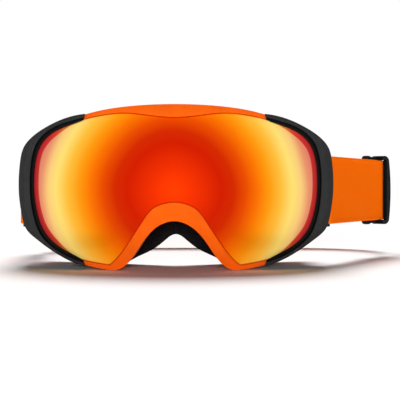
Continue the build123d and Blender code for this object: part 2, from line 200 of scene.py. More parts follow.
def srgb(red, green, blue):
    """Linear colour of an 8-bit screen colour."""
    linear = []
    for channel in (red, green, blue):
        share = channel / 255
        linear.append(share / 12.92 if share <= 0.04045 else ((share + 0.055) / 1.055) ** 2.4)
    return tuple(linear)


# ---- Materials ---------------------------------------------------------------------------------
def moulded_plastic(name, colour, roughness, specular, grain, edge_lift, tint=(1.0, 1.0, 1.0)):
    """Moulded plastic: a fine spark-eroded grain, cloudy sheen and edges rubbed a little lighter."""
    material, tree, shader = new_material(name, colour, roughness, specular, Specular_Tint=(*tint, 1.0))
    place = object_coordinates(tree)
    cloud = noise(tree, place, 90.0, 4.0)
    darker = tuple(channel * 0.9 for channel in colour)
    lighter = tuple(min(1.0, channel * (1 + edge_lift) + 0.004 * edge_lift) for channel in colour)
    mottled = mix_colours(tree, map_range(tree, cloud, 0.35, 0.65), colour, darker)
    geometry = add_node(tree, "ShaderNodeNewGeometry")
    rubbed = map_range(tree, geometry.outputs["Pointiness"], 0.53, 0.62)
    scuffs = map_range(tree, noise(tree, place, 420.0, 5.0, 0.7), 0.42, 0.6)
    tree.links.new(
        mix_colours(tree, math_node(tree, "MULTIPLY", rubbed, scuffs), mottled, lighter),
        shader.inputs["Base Color"],
    )
    tree.links.new(
        map_range(tree, cloud, 0.3, 0.7, roughness - 0.05, roughness + 0.06), shader.inputs["Roughness"]
    )
    add_bump(tree, shader, noise(tree, place, 2600.0, 2.0), grain)
    return material


def make_clamp_material():
    """Moulded grey plastic, with painted shade a tone darker on the slope along its outside."""
    material = moulded_plastic("clamp_grey", srgb(47, 47, 48), 0.55, 0.05, 0.00002, 0.7)
    tree = material.node_tree
    colour = tree.nodes["Principled BSDF"].inputs["Base Color"]
    outside = add_node(tree, "ShaderNodeAttribute", attribute_name="painted_shade_edge")
    painted_shade_slope = map_range(tree, outside.outputs["Fac"], 0.62, 0.7)
    # Painted shade: the outer slope a tone darker, srgb(39, 40, 41).
    tree.links.new(mix_colours(tree, painted_shade_slope, colour.links[0].from_socket, srgb(39, 40, 41)), colour)
    return material


# Painted reflection colour: the mirror coating's shift from red through orange and yellow to pink with
# viewing angle, laid out in rings by distance from the lens middle.
LENS_STOPS = (
    (0.00, srgb(254, 60, 0)),
    (0.13, srgb(234, 47, 1)),
    (0.30, srgb(205, 28, 1)),
    (0.38, srgb(206, 40, 1)),
    (0.46, srgb(227, 74, 1)),
    (0.54, srgb(245, 114, 2)),
    (0.62, srgb(254, 154, 16)),
    (0.70, srgb(255, 188, 58)),
    (0.78, srgb(254, 223, 116)),
    (0.84, srgb(248, 205, 124)),
    (0.89, srgb(233, 150, 108)),
    (0.94, srgb(226, 122, 104)),
)
LENS_SPAN = 0.085
LENS_METALLIC = 0.35
RING_POWER = 1.86
BAND_STOPS = (
    (0.00, srgb(254, 205, 60)),
    (0.30, srgb(240, 140, 40)),
    (0.52, srgb(214, 70, 46)),
    (0.68, srgb(206, 48, 46)),
    (1.00, srgb(200, 50, 50)),
)
BAND_X = (0.048, 0.083)


def make_lens_material():
    """Mirror coating on polycarbonate: interference colours whose shift with viewing angle is painted in
    rings by position as painted reflection colour, and a red band at the clamps.
    """
    material, tree, shader = new_material(
        "lens_mirror", srgb(230, 60, 2), 0.28, 0.12, Specular_Tint=(1.0, 0.35, 0.1, 1.0)
    )
    place = object_coordinates(tree)
    split = add_node(tree, "ShaderNodeSeparateXYZ")
    tree.links.new(place, split.inputs[0])
    across = split.outputs["X"]
    up = split.outputs["Z"]
    sideways = math_node(tree, "ABSOLUTE", across)
    powers = [
        math_node(tree, "POWER", math_node(tree, "DIVIDE", distance, LENS_SPAN), RING_POWER)
        for distance in (sideways, math_node(tree, "ABSOLUTE", up))
    ]
    radius = math_node(tree, "POWER", math_node(tree, "ADD", *powers), 1 / RING_POWER)
    wander = map_range(tree, noise(tree, place, 22.0, 2.0), 0.0, 1.0, -0.014, 0.014)
    # Painted reflection colour, in rings by position.
    painted_reflection_rings = ramp(tree, math_node(tree, "ADD", radius, wander), LENS_STOPS)
    band_colour = ramp(tree, map_range(tree, sideways, *BAND_X), BAND_STOPS)
    rim = add_node(tree, "ShaderNodeAttribute", attribute_name="rim_distance")
    reach = map_range(tree, sideways, BAND_X[0], 0.074, -0.0004, 0.0047, smooth=True)
    inner = math_node(tree, "ADD", reach, 0.0003)
    band = map_range(tree, rim.outputs["Fac"], reach, inner, 1.0, 0.0)
    edge = map_range(tree, rim.outputs["Fac"], 0.0003, 0.0007, 0.75, 0.0)
    lined = mix_colours(tree, edge, painted_reflection_rings, srgb(196, 40, 0))
    tree.links.new(mix_colours(tree, band, lined, band_colour), shader.inputs["Base Color"])
    mirror = map_range(tree, rim.outputs["Fac"], 0.003, 0.014, 0.0, LENS_METALLIC, smooth=True)
    tree.links.new(mirror, shader.inputs["Metallic"])
    return material


def make_clear_material():
    """The inner lens: clear, faintly grey, with an anti-fog coat that clouds the gloss a little."""
    material, tree, shader = new_material(
        "lens_clear", (0.72, 0.7, 0.68), 0.08, 0.5, Transmission_Weight=0.9, IOR=1.49
    )
    haze = noise(tree, object_coordinates(tree), 140.0, 4.0)
    tree.links.new(map_range(tree, haze, 0.3, 0.7, 0.06, 0.14), shader.inputs["Roughness"])
    return material


def make_foam_material(name, colour, cell, depth):
    """Open-cell foam: round pits of a given cell size, with ragged walls between them; the pits carry
    painted shade and the walls painted light.
    """
    material, tree, shader = new_material(name, colour, 0.95, 0.15)
    place = object_coordinates(tree)
    cells = add_node(tree, "ShaderNodeTexVoronoi", feature="SMOOTH_F1", Scale=1.0 / cell, Smoothness=0.35)
    tree.links.new(place, cells.inputs["Vector"])
    ragged = noise(tree, place, 0.6 / cell, 3.0)
    height = math_node(tree, "ADD", cells.outputs["Distance"], math_node(tree, "MULTIPLY", ragged, 0.6))
    # Painted shade in the pits and painted light on the walls between them, following the cells' depth.
    painted_wall_light = map_range(tree, cells.outputs["Distance"], 0.1, 0.7)
    painted_light_colour = tuple(channel * 2.2 + 0.003 for channel in colour)
    tree.links.new(mix_colours(tree, painted_wall_light, colour, painted_light_colour), shader.inputs["Base Color"])
    add_bump(tree, shader, height, depth)
    return material


def make_fleece_material():
    """Brushed microfleece: short fibres that lie in small tufts, with a soft sheen and painted light on
    the tops of the tufts.
    """
    colour = (0.011, 0.011, 0.012)
    material, tree, shader = new_material(
        "fleece", colour, 1.0, 0.05, Sheen_Weight=0.35, Sheen_Roughness=0.5
    )
    place = object_coordinates(tree)
    tufts = noise(tree, place, 900.0, 4.0, 0.7)
    fibres = noise(tree, object_coordinates(tree, (1.0, 1.0, 0.25)), 5200.0, 2.0)
    height = math_node(tree, "ADD", tufts, math_node(tree, "MULTIPLY", fibres, 0.5))
    # Painted light on the tops of the tufts, which follow the bump's height.
    painted_light_colour = (0.03, 0.03, 0.032)
    tree.links.new(
        mix_colours(tree, map_range(tree, height, 0.6, 0.95), colour, painted_light_colour), shader.inputs["Base Color"]
    )
    add_bump(tree, shader, height, 0.00035)
    return material


def make_rubber_material():
    """Soft black liner: matt, with a faint dusty bloom."""
    colour = (0.004, 0.004, 0.0045)
    material, tree, shader = new_material("liner_black", colour, 0.55, 0.06)
    place = object_coordinates(tree)
    bloom = map_range(tree, noise(tree, place, 260.0, 5.0, 0.65), 0.45, 0.75)
    tree.links.new(mix_colours(tree, bloom, colour, (0.007, 0.007, 0.007)), shader.inputs["Base Color"])
    add_bump(tree, shader, noise(tree, place, 1900.0, 2.0), 0.00002)
    return material


def make_steel_material():
    """Turned stainless steel with fine tool marks."""
    material, tree, shader = new_material("steel", (0.55, 0.55, 0.56), 0.28, 0.5, Metallic=1.0)
    marks = noise(tree, object_coordinates(tree, (1.0, 1.0, 14.0)), 900.0, 3.0)
    tree.links.new(map_range(tree, marks, 0.3, 0.7, 0.2, 0.4), shader.inputs["Roughness"])
    add_bump(tree, shader, marks, 0.00002)
    return material


def make_webbing_material(name, colour, rib_pitch, pick_pitch):
    """Woven elastic: lengthwise ribs crossed by picks, with painted shade in the weave's hollows, from a
    UV map in metres (along, across).
    """
    material, tree, shader = new_material(
        name, colour, 0.85, 0.03, Specular_Tint=(1.0, 0.4, 0.12, 1.0),
        Sheen_Weight=0.01, Sheen_Roughness=0.4, Sheen_Tint=(1.0, 0.45, 0.15, 1.0),
    )
    uv = add_node(tree, "ShaderNodeUVMap", uv_map="cloth")
    split = add_node(tree, "ShaderNodeSeparateXYZ")
    tree.links.new(uv.outputs["UV"], split.inputs[0])
    turn = 2 * math.pi
    rib_phase = math_node(tree, "MULTIPLY", split.outputs["Y"], turn / rib_pitch)
    pick_phase = math_node(tree, "MULTIPLY", split.outputs["X"], turn / pick_pitch)
    rib = math_node(tree, "ABSOLUTE", math_node(tree, "SINE", math_node(tree, "MULTIPLY", rib_phase, 0.5)))
    step = math_node(tree, "SIGN", math_node(tree, "SINE", rib_phase))
    shifted = math_node(tree, "ADD", pick_phase, math_node(tree, "MULTIPLY", step, math.pi / 2))
    pick = math_node(tree, "ADD", math_node(tree, "MULTIPLY", math_node(tree, "SINE", shifted), 0.5), 0.5)
    depth = math_node(tree, "ADD", math_node(tree, "MULTIPLY", pick, 0.6), 0.4)
    weave = math_node(tree, "MULTIPLY", rib, depth)
    fuzz = noise(tree, object_coordinates(tree), 3200.0, 3.0)
    height = math_node(tree, "ADD", weave, math_node(tree, "MULTIPLY", fuzz, 0.35))
    # Painted shade in the hollows of the weave, following its height.
    painted_hollow_shade = tuple(channel * 0.95 for channel in colour)
    shade = map_range(tree, weave, 0.05, 0.6)
    worn = map_range(tree, noise(tree, object_coordinates(tree), 45.0, 4.0), 0.35, 0.7)
    body = mix_colours(tree, worn, colour, tuple(min(1.0, channel * 1.06 + 0.002) for channel in colour))
    tree.links.new(mix_colours(tree, shade, painted_hollow_shade, body), shader.inputs["Base Color"])
    add_bump(tree, shader, height, 0.00006)
    return material


def make_thread_material():
    """Twisted polyester sewing thread, with painted shade in the grooves of the twist."""
    colour = srgb(190, 70, 8)
    material, tree, shader = new_material("thread", colour, 0.5, 0.3)
    twist_and_groove_shade = noise(tree, object_coordinates(tree, (1.0, 1.0, 3.0)), 2400.0, 2.0)
    # Painted shade in the grooves of the twist, which follow the bump's height.
    darker = tuple(channel * 0.7 for channel in colour)
    tree.links.new(mix_colours(tree, twist_and_groove_shade, darker, colour), shader.inputs["Base Color"])
    add_bump(tree, shader, twist_and_groove_shade, 0.00006)
    return material


def make_silicone_material():
    """Clear silicone, printed on the inside of the orange strap to grip a helmet."""
    colour = (0.62, 0.17, 0.03)
    material, tree, shader = new_material("silicone", colour, 0.35, 0.15)
    smear = noise(tree, object_coordinates(tree), 500.0, 3.0)
    tree.links.new(map_range(tree, smear, 0.3, 0.7, 0.28, 0.5), shader.inputs["Roughness"])
    return material


def make_floor_material():
    """Plain pale studio floor."""
    material, tree, shader = new_material("floor", (0.93, 0.93, 0.93), 0.9, 0.0)
    speck = noise(tree, object_coordinates(tree), 30.0, 2.0)
    tree.links.new(mix_colours(tree, speck, (0.925,) * 3, (0.94,) * 3), shader.inputs["Base Color"])
    return material


FRAME_ORANGE = srgb(254, 102, 18)
STRAP_ORANGE = srgb(255, 109, 1)
ORANGE_TINT = (1.0, 0.4, 0.15)
MATERIALS = {
    "lens_mirror": make_lens_material(),
    "lens_clear": make_clear_material(),
    "gasket_foam": make_foam_material("gasket_foam", (0.012, 0.012, 0.012), 0.0006, 0.0001),
    "frame_orange": moulded_plastic("frame_orange", FRAME_ORANGE, 0.55, 0.1, 0.000012, 0.12, ORANGE_TINT),
    "vent_foam": make_foam_material("vent_foam", (0.012, 0.012, 0.013), 0.0011, 0.0005),
    "face_foam": make_foam_material("face_foam", (0.0035, 0.0035, 0.004), 0.0009, 0.0003),
    "fleece": make_fleece_material(),
    "clamp_grey": make_clamp_material(),
    "liner_black": make_rubber_material(),
    "steel": make_steel_material(),
    "hardware_black": moulded_plastic("hardware_black", srgb(13, 15, 18), 0.6, 0.025, 0.00002, 0.5),
    "strap_orange": make_webbing_material("strap_orange", STRAP_ORANGE, 0.0012, 0.0016),
    "thread": make_thread_material(),
    "silicone": make_silicone_material(),
    "floor": make_floor_material(),
}


# ---- Mesh helpers ------------------------------------------------------------------------------
def make_object(name, points, faces, material, smooth=True):
    """A mesh object from points in millimetres."""
    mesh = bpy.data.meshes.new(name)
    mesh.from_pydata((np.asarray(points, float) * MM).tolist(), [], faces)
    piece = bpy.data.objects.new(name, mesh)
    SCENE.collection.objects.link(piece)
    tidy = bmesh.new()
    tidy.from_mesh(mesh)
    bmesh.ops.recalc_face_normals(tidy, faces=tidy.faces)
    tidy.to_mesh(mesh)
    tidy.free()
    mesh.materials.append(MATERIALS[material])
    if smooth:
        mesh.shade_smooth()
    return piece


def grid_faces(rows, columns, closed_rows=False):
    """Quads of a grid whose points run row by row, each row closed on itself."""
    faces = []
    for row in range(rows if closed_rows else rows - 1):
        following = (row + 1) % rows
        for column in range(columns):
            beside = (column + 1) % columns
            faces.append((
                row * columns + column, row * columns + beside,
                following * columns + beside, following * columns + column,
            ))
    return faces


def loops_on(node, belongs):
    """Closed rows of a CAD node's sharp edges whose ends both belong, in millimetres, longest first."""
    net = bmesh.new()
    net.from_mesh(NODES[node].data)
    bmesh.ops.remove_doubles(net, verts=net.verts, dist=WELD_DISTANCE)
    beside = {}
    places = {}
    for edge in net.edges:
        ends = [np.array(vertex.co) / MM for vertex in edge.verts]
        if edge.is_boundary or edge.calc_face_angle(0.0) < math.radians(25):
            continue
        if not (belongs(ends[0]) and belongs(ends[1])):
            continue
        for vertex, other, place in zip(edge.verts, reversed(edge.verts), ends):
            beside.setdefault(vertex.index, []).append(other.index)
            places[vertex.index] = place
    net.free()
    rows = []
    unused = set(beside)
    while unused:
        current = min(unused)
        row = [current]
        unused.discard(current)
        while True:
            onward = [index for index in beside[current] if index in unused]
            if not onward:
                break
            current = onward[0]
            row.append(current)
            unused.discard(current)
        rows.append(np.array([places[index] for index in row]))
    return sorted(rows, key=len, reverse=True)


def even_outline(row, count):
    """A closed outline in (x, z), spread evenly, starting above the middle and going to +X."""
    flat = row[:, (0, 2)]
    angle = np.arctan2(flat[:, 0] - STAR_CENTRE[0], flat[:, 1] - STAR_CENTRE[1])
    flat = flat[np.argsort(angle)]
    ring = np.vstack((flat, flat[:1]))
    travel = np.concatenate(([0.0], np.cumsum(np.hypot(*np.diff(ring, axis=0).T))))
    places = np.linspace(0.0, travel[-1], count, endpoint=False)
    even = np.column_stack((np.interp(places, travel, ring[:, 0]), np.interp(places, travel, ring[:, 1])))
    for _ in range(2):
        even = 0.5 * even + 0.25 * (np.roll(even, 1, axis=0) + np.roll(even, -1, axis=0))
    return even


def same_angles(outline, guide):
    """Points of an outline at the same angles about the star centre as a guide outline's points."""
    centre = np.array(STAR_CENTRE)
    angle = np.arctan2(*(outline - centre).T)
    reach = np.hypot(*(outline - centre).T)
    wanted = np.arctan2(*(guide - centre).T)
    order = np.argsort(angle)
    found = np.interp(wanted, angle[order], reach[order], period=2 * math.pi)
    return centre + np.column_stack((np.sin(wanted), np.cos(wanted))) * found[:, None]


def on_ball(flat, radius):
    """Points of (x, z) lifted onto a sphere about the lens centre."""
    depth = LENS_CENTRE[1] - np.sqrt(radius**2 - flat[:, 0] ** 2 - flat[:, 1] ** 2)
    return np.column_stack((flat[:, 0], depth, flat[:, 1]))


def on_drum(flat, radius):
    """Points of (x, z) lifted onto an upright cylinder that follows the face."""
    depth = FACE_CENTRE_Y - np.sqrt(radius**2 - flat[:, 0] ** 2)
    return np.column_stack((flat[:, 0], depth, flat[:, 1]))


def inward(outline, amount):
    """An outline moved inwards along its own normals."""
    along = np.roll(outline, -1, axis=0) - np.roll(outline, 1, axis=0)
    normal = np.column_stack((along[:, 1], -along[:, 0]))
    normal /= np.linalg.norm(normal, axis=1)[:, None]
    middle = np.array(STAR_CENTRE)
    if np.sum(normal * (middle - outline)) < 0:
        normal = -normal
    return outline + normal * amount


def on_root(piece, slot, *replaced):
    """The piece rides on the root body and stands for CAD nodes."""
    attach(piece, "root")
    if replaced:
        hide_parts(*replaced)
    return piece


# ---- Lens --------------------------------------------------------------------------------------
LENS_COLUMNS = 560
LENS_INSETS = (0.5, 0.8, 1.2, 1.7, 2.2)
LENS_SHRINKS = (
    0.99, 0.98, 0.97, 0.96, 0.95, 0.935, 0.92, 0.9, 0.88, 0.85,
    0.81, 0.76, 0.7, 0.62, 0.53, 0.44, 0.35, 0.26, 0.17, 0.08,
)
LENS_EDGE_ROUND = 0.35


def make_lens():
    """The mirrored outer lens, with a rounded edge and each point's distance from its rim."""
    is_front = lambda point: abs(np.linalg.norm(point - LENS_CENTRE) - LENS_R) < 0.03
    rim = even_outline(loops_on("outer_lens", is_front)[0], LENS_COLUMNS)
    centre = np.array(STAR_CENTRE)
    core = inward(rim, LENS_INSETS[-1])
    spread = [inward(rim, inset) for inset in LENS_INSETS]
    spread += [centre + (core - centre) * share for share in LENS_SHRINKS]
    rows = [on_ball(flat, LENS_R) for flat in reversed(spread)]
    for turn in np.linspace(0.0, 90.0, 5):
        inset = LENS_EDGE_ROUND * (1 - math.sin(math.radians(turn)))
        sink = LENS_EDGE_ROUND * (1 - math.cos(math.radians(turn)))
        rows.append(on_ball(inward(rim, inset), LENS_R - sink))
    rows += [on_ball(flat, LENS_R - LENS_THICKNESS) for flat in (rim, *spread)]
    front_pole = on_ball(centre[None], LENS_R)
    rear_pole = on_ball(centre[None], LENS_R - LENS_THICKNESS)
    points = np.vstack((*rows, front_pole, rear_pole))
    faces = grid_faces(len(rows), LENS_COLUMNS)
    last_row = (len(rows) - 1) * LENS_COLUMNS
    pole = len(points) - 2
    for column in range(LENS_COLUMNS):
        beside = (column + 1) % LENS_COLUMNS
        faces.append((pole, beside, column))
        faces.append((pole + 1, last_row + column, last_row + beside))
    lens = make_object("outer_lens_mirror", points, faces, "lens_mirror")
    rim_distance = lens.data.attributes.new("rim_distance", "FLOAT", "POINT")
    flat = points[:, (0, 2)]
    nearest = np.array([np.hypot(*(rim - place).T).min() for place in flat])
    rim_distance.data.foreach_set("value", (nearest * MM).astype(np.float32))
    return on_root(lens, "lens_mirror", "outer_lens")


# ---- CAD nodes that stay -----------------------------------------------------------------------
BEVELS = {
    "frame": (0.3, "frame_orange"),
    "foam_carrier": (0.3, "hardware_black"),
    "inner_lens": (0.2, "lens_clear"),
    "clamp_screws": (0.15, "steel"),
}
SIDE_BEVELS = {
    "side_clamp": (0.7, "clamp_grey"),
    "clamp_liner": (0.3, "liner_black"),
    "strap_arm": (0.35, "hardware_black"),
    "hinge_pin": (0.15, "steel"),
    "adjuster": (0.45, "hardware_black"),
}
BEVEL_ANGLE = 32
CLAMP_STRETCH = 1.25
CLAMP_SECTOR = 2.5


def mark_painted_shade_edge(node):
    """Mark a clamp's points 1 along its outside and 0 along the liner, so that the painted shade on its
    outer slope blends on its front.
    """
    mesh = node.data
    places = np.array([vertex.co for vertex in mesh.vertices]) / MM
    reach = np.hypot(places[:, 0] / CLAMP_STRETCH, places[:, 2])
    turn = np.degrees(np.arctan2(places[:, 2], abs(places[:, 0])))
    marks = np.zeros(len(places), np.float32)
    for index, (own_turn, own_reach) in enumerate(zip(turn, reach)):
        beside = reach[abs(turn - own_turn) < CLAMP_SECTOR]
        marks[index] = own_reach > 0.5 * (beside.min() + beside.max())
    mesh.attributes.new("painted_shade_edge", "FLOAT", "POINT").data.foreach_set("value", marks)


def finish_cad_node(name, width, material):
    """Rounded edges and a proper material on a CAD node that stays in view."""
    node = NODES[name]
    node.data.materials.clear()
    node.data.materials.append(MATERIALS[material])
    weld = node.modifiers.new("weld", "WELD")
    weld.merge_threshold = WELD_DISTANCE
    if name.endswith("side_clamp"):
        mark_painted_shade_edge(node)
    bevel = node.modifiers.new("rounded_edges", "BEVEL")
    bevel.width = width * MM
    bevel.segments = 3
    bevel.limit_method = "ANGLE"
    bevel.angle_limit = math.radians(BEVEL_ANGLE)
    bevel.harden_normals = True
    bevel.use_clamp_overlap = True
    return node


def finish_cad_nodes():
    """Every CAD node that keeps its own mesh."""
    for name, (width, material) in BEVELS.items():
        finish_cad_node(name, width, material)
    for side in SIDE_SIGN:
        for name, (width, material) in SIDE_BEVELS.items():
            finish_cad_node(f"{side}_{name}", width, material)


# ---- Foam --------------------------------------------------------------------------------------
FOAM_COLUMNS = 300
FOAM_ROUND = 1.3
SEAM_DEPTH = 0.7
CLOTH_FRAMES = 20
CLOTH_PRESSURE = 4.0
FOAM_CAP = 0.0011
FLEECE_CAP = 0.0007
FLEECE_OVERLAP = 0.25
FLEECE_ROUND = 1.1
SEAM_HALF_WIDTH = 0.35
SUBDIVISIONS = 1


def foam_outlines():
    """The outer and inner outlines of the face foam, at matching angles."""
    on_seam = lambda point: abs(np.hypot(point[0], point[1] - FACE_CENTRE_Y) - FOAM_SEAM_R) < 0.05
    rows = loops_on("face_foam_base", on_seam)[:2]
    rows.sort(key=lambda row: np.ptp(row[:, 0]), reverse=True)
    outer = even_outline(rows[0], FOAM_COLUMNS)
    inner = same_angles(even_outline(rows[1], FOAM_COLUMNS), outer)
    return outer, inner


def foam_section(outer, inner, front_r, rear_r, rounding, seam_r=None):
    """Rows round a foam ring's section: outer wall, face side, inner wall and glued side."""
    wall = [(front_r, 0.0), (front_r - 1.0, 0.0)]
    depth = front_r - rear_r
    if seam_r is None:
        wall += [(front_r - depth * share, 0.0) for share in (0.4, 0.7)]
    else:
        span = front_r - seam_r
        wall += [(front_r - span * share, 0.0) for share in (0.35, 0.6, 0.82)]
        edge = SEAM_DEPTH * 0.6
        wall += [(seam_r + SEAM_HALF_WIDTH, edge), (seam_r, SEAM_DEPTH), (seam_r - SEAM_HALF_WIDTH, edge)]
        wall += [(seam_r - (seam_r - rear_r) * share, 0.0) for share in (0.2, 0.45)]
    for turn in (0.0, 30.0, 60.0, 90.0):
        sink = rounding * (1 - math.cos(math.radians(turn)))
        rise = rounding * (1 - math.sin(math.radians(turn)))
        wall.append((rear_r + rise, sink))
    rows = [on_drum(inward(outer, inset), radius) for radius, inset in wall]
    for share in (0.3, 0.5, 0.7):
        rows.append(on_drum(outer + (inner - outer) * share, rear_r))
    rows += [on_drum(inward(inner, -inset), radius) for radius, inset in reversed(wall)]
    for share in (0.7, 0.5, 0.3):
        rows.append(on_drum(outer + (inner - outer) * share, front_r))
    return rows


def swell(piece, pinned, cap):
    """Cloth under pressure, held at its glue lines, then applied with a cap on the movement.

    The foam's walls move by 0.16 mm at most and the fleece not at all, so the pieces keep the
    rounded form of their section.
    """
    rest = np.array([vertex.co for vertex in piece.data.vertices], float)
    group = piece.vertex_groups.new(name="glued")
    group.add([int(index) for index in np.flatnonzero(pinned)], 1.0, "REPLACE")
    cloth = piece.modifiers.new("cloth", "CLOTH")
    cloth.settings.use_pressure = True
    cloth.settings.uniform_pressure_force = CLOTH_PRESSURE
    cloth.settings.vertex_group_mass = "glued"
    cloth.settings.effector_weights.gravity = 0.0
    cloth.settings.quality = 5
    cloth.settings.tension_stiffness = 40.0
    cloth.settings.compression_stiffness = 40.0
    cloth.collision_settings.use_collision = False
    cloth.point_cache.frame_start = 1
    cloth.point_cache.frame_end = CLOTH_FRAMES
    for step in range(1, CLOTH_FRAMES + 1):
        SCENE.frame_set(step)
    posed = piece.evaluated_get(bpy.context.evaluated_depsgraph_get())
    moved = np.array([vertex.co for vertex in posed.data.vertices], float)
    piece.modifiers.remove(cloth)
    SCENE.frame_set(1)
    shift = moved - rest
    reach = np.linalg.norm(shift, axis=1)
    shift *= (np.minimum(reach, cap) / np.maximum(reach, 1e-9))[:, None]
    shift = np.nan_to_num(shift)
    piece.data.vertices.foreach_set("co", (rest + shift).astype(np.float32).ravel())
    piece.data.update()


def subdivide(piece):
    """Subdivision kept as a modifier, so that every render and export sees it."""
    surface = piece.modifiers.new("subdivision", "SUBSURF")
    surface.levels = SUBDIVISIONS
    surface.render_levels = SUBDIVISIONS


def make_foam_ring(name, rows, material):
    """A closed ring from the rows of its section, and each point's distance from the face's axis."""
    points = np.vstack(rows)
    ring = make_object(name, points, grid_faces(len(rows), FOAM_COLUMNS, closed_rows=True), material)
    return ring, np.hypot(*(points[:, (0, 1)] - (0.0, FACE_CENTRE_Y)).T)


def make_face_foam():
    """The two glued foam layers in one piece with a seam, and the fleece that covers them."""
    outer, inner = foam_outlines()
    rows = foam_section(outer, inner, FOAM_FRONT_R, FOAM_REAR_R, FOAM_ROUND, FOAM_SEAM_R)
    foam, radius = make_foam_ring("face_foam", rows, "face_foam")
    glued = (radius > FOAM_FRONT_R - 0.5) | (radius < FOAM_REAR_R + 0.1)
    swell(foam, glued | (abs(radius - FOAM_SEAM_R) < 0.5), FOAM_CAP)
    subdivide(foam)
    on_root(foam, "face_foam", "face_foam_base", "face_foam_mid")
    cover_outer = inward(outer, -FLEECE_OVERLAP)
    cover_inner = inward(inner, FLEECE_OVERLAP)
    rows = foam_section(cover_outer, cover_inner, FOAM_REAR_R + 0.5, FLEECE_REAR_R, FLEECE_ROUND)
    fleece, radius = make_foam_ring("face_fleece_cover", rows, "fleece")
    swell(fleece, radius > FOAM_REAR_R, FLEECE_CAP)
    subdivide(fleece)
    on_root(fleece, "fleece", "face_fleece")


SOFT_COPIES = {
    "vent_foam_top": ("vent_foam_top_sheet", "vent_foam", 0.0007),
    "vent_foam_lower_left": ("vent_foam_lower_left_sheet", "vent_foam", 0.0006),
    "vent_foam_lower_right": ("vent_foam_lower_right_sheet", "vent_foam", 0.0006),
    "lens_gasket": ("lens_gasket_foam", "gasket_foam", 0.0008),
}


def make_soft_copy(node, name, material, voxel):
    """A soft node's own shape, remeshed, with its edges eased and its faces pitted like foam."""
    mesh = NODES[node].data.copy()
    mesh.name = name
    piece = bpy.data.objects.new(name, mesh)
    SCENE.collection.objects.link(piece)
    net = bmesh.new()
    net.from_mesh(mesh)
    bmesh.ops.remove_doubles(net, verts=net.verts, dist=WELD_DISTANCE)
    net.to_mesh(mesh)
    net.free()
    remesh = piece.modifiers.new("remesh", "REMESH")
    remesh.mode = "VOXEL"
    remesh.voxel_size = voxel
    ease = piece.modifiers.new("ease", "SMOOTH")
    ease.factor = 0.5
    ease.iterations = 3
    done = bpy.data.meshes.new_from_object(piece.evaluated_get(bpy.context.evaluated_depsgraph_get()))
    piece.modifiers.clear()
    piece.data = done
    done.materials.clear()
    done.materials.append(MATERIALS[material])
    done.shade_smooth()
    on_root(piece, material, node)
    return piece


# ---- Strap -------------------------------------------------------------------------------------
def strap_axes(side):
    """Start, direction along and direction out of a strap's straight stretch, in (x, y)."""
    sign = SIDE_SIGN[side]
    angle = math.radians(SPLAY[side])
    along = np.array((sign * math.sin(angle), math.cos(angle)))
    out = np.array((sign * math.cos(angle), -math.sin(angle)))
    stand_off = BAR_R + STRAP_THICKNESS / 2
    start = np.array((sign * BAR[0], BAR[1])) + stand_off * out
    return start, along, out


def strap_place(side, along_mm, out_mm=0.0, up_mm=0.0):
    """A point by its distances along, out from and above a side's straight strap."""
    start, along, out = strap_axes(side)
    x, y = start + along * along_mm + out * out_mm
    return np.array((x, y, up_mm))


def rear_stretches():
    """Lengths and turns of the strap's rear, from the right straight stretch to the left one."""
    start = strap_place("right", STRAP_STRAIGHT)[:2]
    end = strap_place("left", STRAP_STRAIGHT)[:2]
    bend = math.radians(SPLAY["right"])
    last = math.radians(90 + SPLAY["left"])
    x = start[0] + RIGHT_BEND_R * (1 - math.cos(bend)) - RIGHT_CORNER_R
    y = start[1] + RIGHT_BEND_R * math.sin(bend) + RIGHT_CORNER_R
    left_radius = (y - end[1]) / (1 + math.sin(last - math.pi / 2))
    straight = x - (end[0] + left_radius * math.cos(last - math.pi / 2))
    return (
        (RIGHT_BEND_R * bend, bend),
        (RIGHT_CORNER_R * math.pi / 2, math.pi / 2),
        (straight, 0.0),
        (left_radius * last, last),
    )


def rear_path(count):
    """Points, headings and travel along the strap's rear, with its sag."""
    stretches = rear_stretches()
    whole = sum(length for length, _ in stretches)
    rows = []
    for distance in np.linspace(0.0, whole, count):
        x, y = strap_place("right", STRAP_STRAIGHT)[:2]
        heading = math.radians(SPLAY["right"])
        left = distance
        for length, turn in stretches:
            step = min(left, length)
            bend = turn * step / length
            chord = step if turn == 0 else 2 * length / turn * math.sin(bend / 2)
            x += chord * math.sin(heading - bend / 2)
            y += chord * math.cos(heading - bend / 2)
            heading -= bend
            left -= step
        sag = STRAP_SAG * math.sin(math.pi * distance / whole) ** 2
        rows.append(((x, y, -sag), (math.cos(heading), -math.sin(heading)), distance))
    return rows


TUCK = 3.0
TUCK_START = -7.0
TUCK_END = 75.0


def tuck(distance):
    """How far the strap tucks in just past the right adjuster, by travel from its last straight point."""
    share = (distance - TUCK_START) / (TUCK_END - TUCK_START)
    if not 0 < share < 1:
        return 0.0
    return TUCK * math.sin(math.pi * share ** 0.65) ** 2


BAND_HALF_SECTION = 15
SELVEDGE_WIDTH = 1.6
SELVEDGE_EXTRA = 0.12


def band_section(width, thickness):
    """Section of woven elastic as (across, out) points, with fuller selvedges and rounded edges."""
    half = width / 2
    across = np.concatenate((
        np.linspace(-half + SELVEDGE_WIDTH, half - SELVEDGE_WIDTH, BAND_HALF_SECTION),
        half - SELVEDGE_WIDTH + np.array((0.3, 0.9, 1.25, 1.5)),
    ))
    across = np.concatenate((-half + SELVEDGE_WIDTH - np.array((1.5, 1.25, 0.9, 0.3)), across))
    rise = np.full(len(across), thickness / 2)
    edge = half - np.abs(across)
    fuller = (edge < SELVEDGE_WIDTH) & (edge > 0.5)
    rise[fuller] += SELVEDGE_EXTRA
    rise[edge < 0.5] = thickness / 2 * 0.78
    rise[edge < 0.2] = thickness / 2 * 0.4
    upper = list(zip(across, rise))
    lower = [(place, -height) for place, height in reversed(upper)]
    return upper + [(half, 0.0)] + lower + [(-half, 0.0)]


